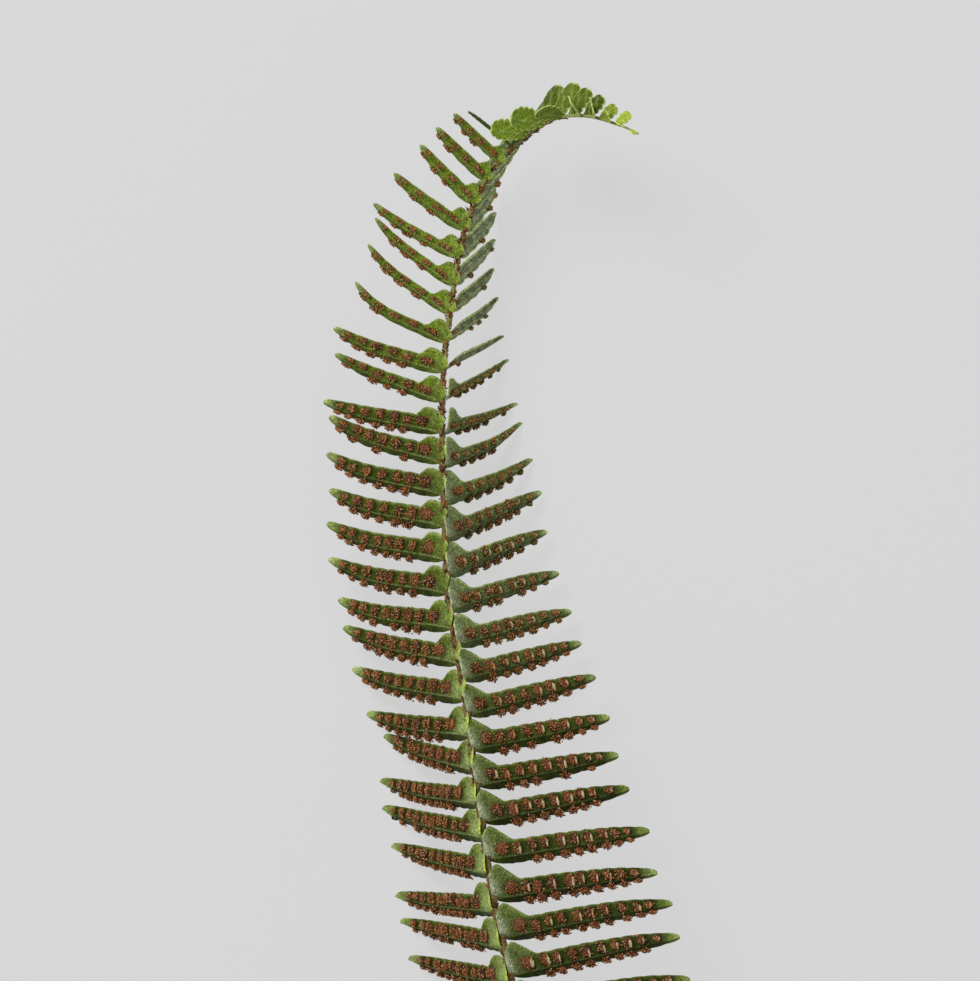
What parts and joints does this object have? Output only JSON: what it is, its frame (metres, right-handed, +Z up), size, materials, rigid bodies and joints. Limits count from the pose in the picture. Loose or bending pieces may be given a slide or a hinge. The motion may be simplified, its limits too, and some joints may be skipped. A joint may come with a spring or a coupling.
{
  "type": "fern frond",
  "caption": "Cut frond of a sword fern lying spore side up: a long stem with eared, scalloped leaflets, rows of brown spore heaps and a curled bright tip",
  "frame": {"origin": "the resting spot under the stem's cut end, on the surface the frond lies on", "axes": "+Y along the frond from the cut end toward the tip, +Z up out of the spore side, +X to the side the tip curls to"},
  "size_m": [0.0722, 0.3167, 0.04],
  "materials": {
    "frond_green": null
  },
  "bodies": {
    "root": {"frond": "frond_green"}
  },
  "joints": []
}
